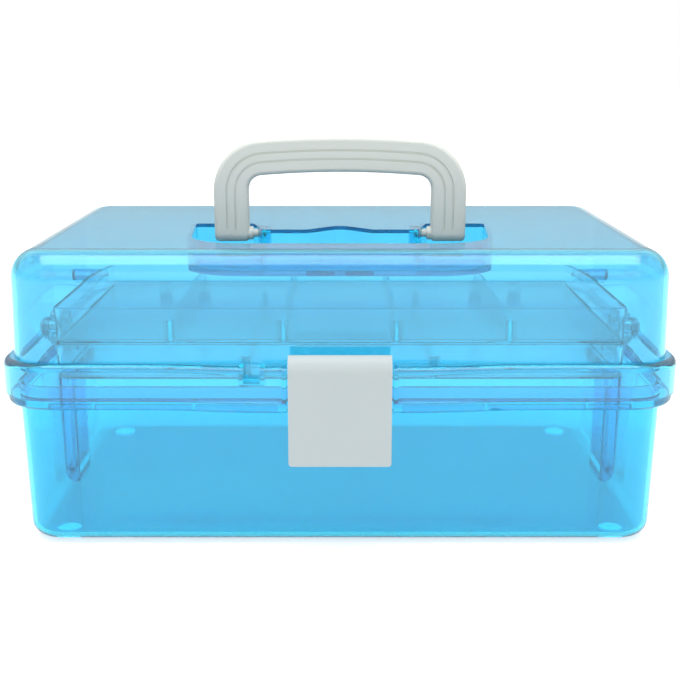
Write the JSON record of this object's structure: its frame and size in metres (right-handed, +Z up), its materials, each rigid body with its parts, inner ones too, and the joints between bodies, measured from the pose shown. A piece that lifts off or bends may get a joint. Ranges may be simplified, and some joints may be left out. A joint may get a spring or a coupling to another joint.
{
  "type": "craft storage box",
  "caption": "Clear box with a domed hinged lid, a fold-down handle, a front latch and sorting trays that rise and swing back on arms as the lid opens.",
  "frame": {"origin": "on the ground under the middle of the closed box's outer box", "axes": "+X is the box's right as seen from the front, -Y is the front with the latch, +Z is up"},
  "size_m": [0.33, 0.2212, 0.1953],
  "materials": {
    "clear_blue": "clear, tinted",
    "arm_blue": "clear, pale",
    "white_plastic": "satin",
    "pin_steel": "satin"
  },
  "bodies": {
    "base": {"base_tub": "clear_blue", "base_pivot_front_left": "pin_steel", "base_pivot_rear_left": "pin_steel", "base_pivot_front_right": "pin_steel", "base_pivot_rear_right": "pin_steel", "hinge_pin_left": "pin_steel", "hinge_pin_right": "pin_steel"},
    "lid": {"lid_shell": "clear_blue", "lid_tray_pin_left": "pin_steel", "lid_tray_pin_right": "pin_steel"},
    "handle": {"handle": "white_plastic"},
    "latch": {"latch": "white_plastic"},
    "lower_tray": {"lower_tray": "clear_blue", "lower_tray_pivot_front_left": "pin_steel", "lower_tray_pivot_rear_left": "pin_steel", "lower_tray_pivot_front_right": "pin_steel", "lower_tray_pivot_rear_right": "pin_steel"},
    "upper_tray": {"upper_tray": "clear_blue", "upper_tray_pivot_front_left": "pin_steel", "upper_tray_pivot_rear_left": "pin_steel", "upper_tray_pivot_front_right": "pin_steel", "upper_tray_pivot_rear_right": "pin_steel"},
    "arm_front_left": {"arm_front_left": "arm_blue"},
    "arm_rear_left": {"arm_rear_left": "arm_blue"},
    "arm_front_right": {"arm_front_right": "arm_blue"},
    "arm_rear_right": {"arm_rear_right": "arm_blue"}
  },
  "joints": [
    {"name": "lid_hinge", "type": "hinge", "parent": "base", "child": "lid", "pos_m": [0, 0.1068, 0.0765], "axis": [-1, 0, 0], "range_deg": [0, 100]},
    {"name": "arm_swing_front_left", "type": "hinge", "parent": "base", "child": "arm_front_left", "pos_m": [-0.1437, -0.00895, 0.0715], "axis": [-1, 0, 0], "range_deg": [0, 100]},
    {"name": "arm_swing_rear_left", "type": "hinge", "parent": "base", "child": "arm_rear_left", "pos_m": [-0.1437, 0.01105, 0.0715], "axis": [-1, 0, 0], "range_deg": [0, 100]},
    {"name": "arm_swing_front_right", "type": "hinge", "parent": "base", "child": "arm_front_right", "pos_m": [0.1437, -0.00895, 0.0715], "axis": [-1, 0, 0], "range_deg": [0, 100]},
    {"name": "arm_swing_rear_right", "type": "hinge", "parent": "base", "child": "arm_rear_right", "pos_m": [0.1437, 0.01105, 0.0715], "axis": [-1, 0, 0], "range_deg": [0, 100]},
    {"name": "lower_tray_pivot", "type": "hinge", "parent": "arm_front_left", "child": "lower_tray", "pos_m": [-0.1437, -0.04143, 0.0895], "axis": [-1, 0, 0], "range_deg": [-100, 0]},
    {"name": "upper_tray_pivot", "type": "hinge", "parent": "lid", "child": "upper_tray", "pos_m": [0, 0.04185, 0.1125], "axis": [-1, 0, 0], "range_deg": [-100, 0]},
    {"name": "handle_fold", "type": "hinge", "parent": "lid", "child": "handle", "pos_m": [0, -0.008, 0.1438], "axis": [1, 0, 0], "range_deg": [0, 90]},
    {"name": "latch_swing", "type": "hinge", "parent": "lid", "child": "latch", "pos_m": [0, -0.1032, 0.0958], "axis": [-1, 0, 0], "range_deg": [0, 95]}
  ],
  "couplings": [
    {"joint": "arm_swing_front_left", "follows": "lid_hinge", "ratio": 1},
    {"joint": "arm_swing_rear_left", "follows": "lid_hinge", "ratio": 1},
    {"joint": "arm_swing_front_right", "follows": "lid_hinge", "ratio": 1},
    {"joint": "arm_swing_rear_right", "follows": "lid_hinge", "ratio": 1},
    {"joint": "lower_tray_pivot", "follows": "lid_hinge", "ratio": -1},
    {"joint": "upper_tray_pivot", "follows": "lid_hinge", "ratio": -1}
  ]
}
